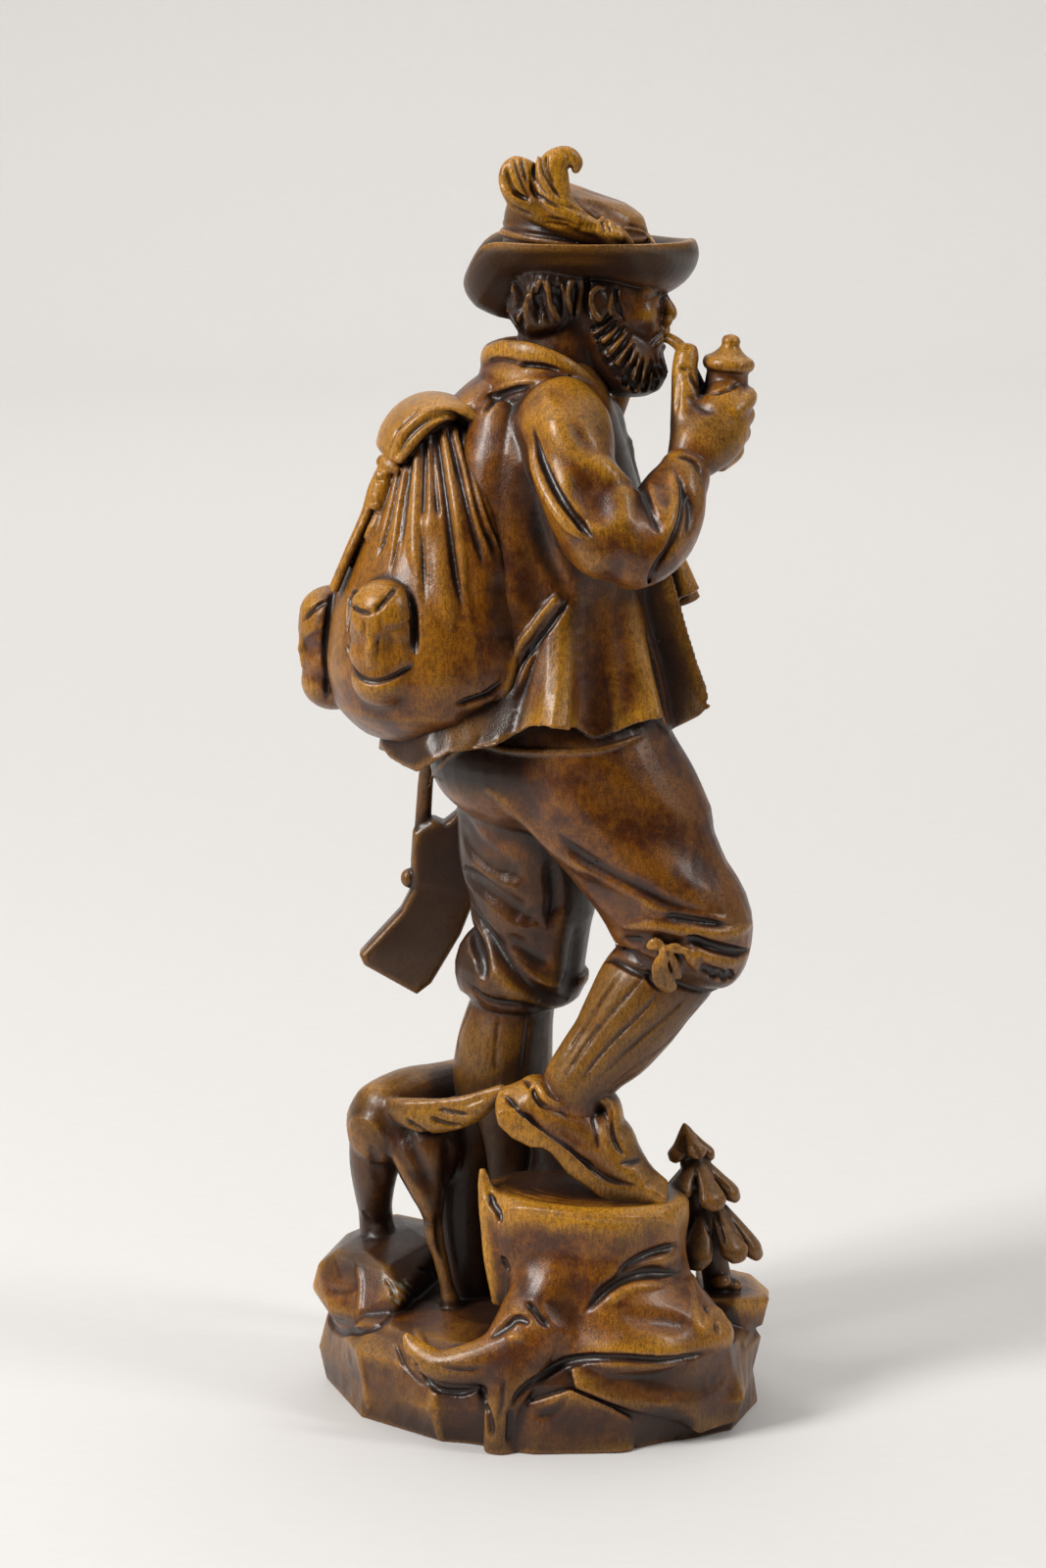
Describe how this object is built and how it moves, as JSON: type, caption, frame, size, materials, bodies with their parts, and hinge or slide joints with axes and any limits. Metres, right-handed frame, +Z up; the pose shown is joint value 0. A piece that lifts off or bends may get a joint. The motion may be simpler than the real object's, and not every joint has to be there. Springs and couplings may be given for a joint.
{
  "type": "carved wooden hunter figure",
  "caption": "Carved wooden hunter with pipe, rucksack and slung rifle, one foot on a tree stump, a hound behind his leg and a small fir, all on a rock base.",
  "frame": {"origin": "on the flat underside of the rock base, below the middle of the standing figure", "axes": "+X the way the hunter looks, +Y to his left, +Z up"},
  "size_m": [0.1233, 0.1008, 0.3274],
  "materials": {
    "stained_limewood": "limewood stained antique brown, darker in the recesses, worn to golden ochre on the high places, waxed to a soft gloss"
  },
  "bodies": {
    "root": {"carved_hunter": "stained_limewood"}
  },
  "joints": []
}
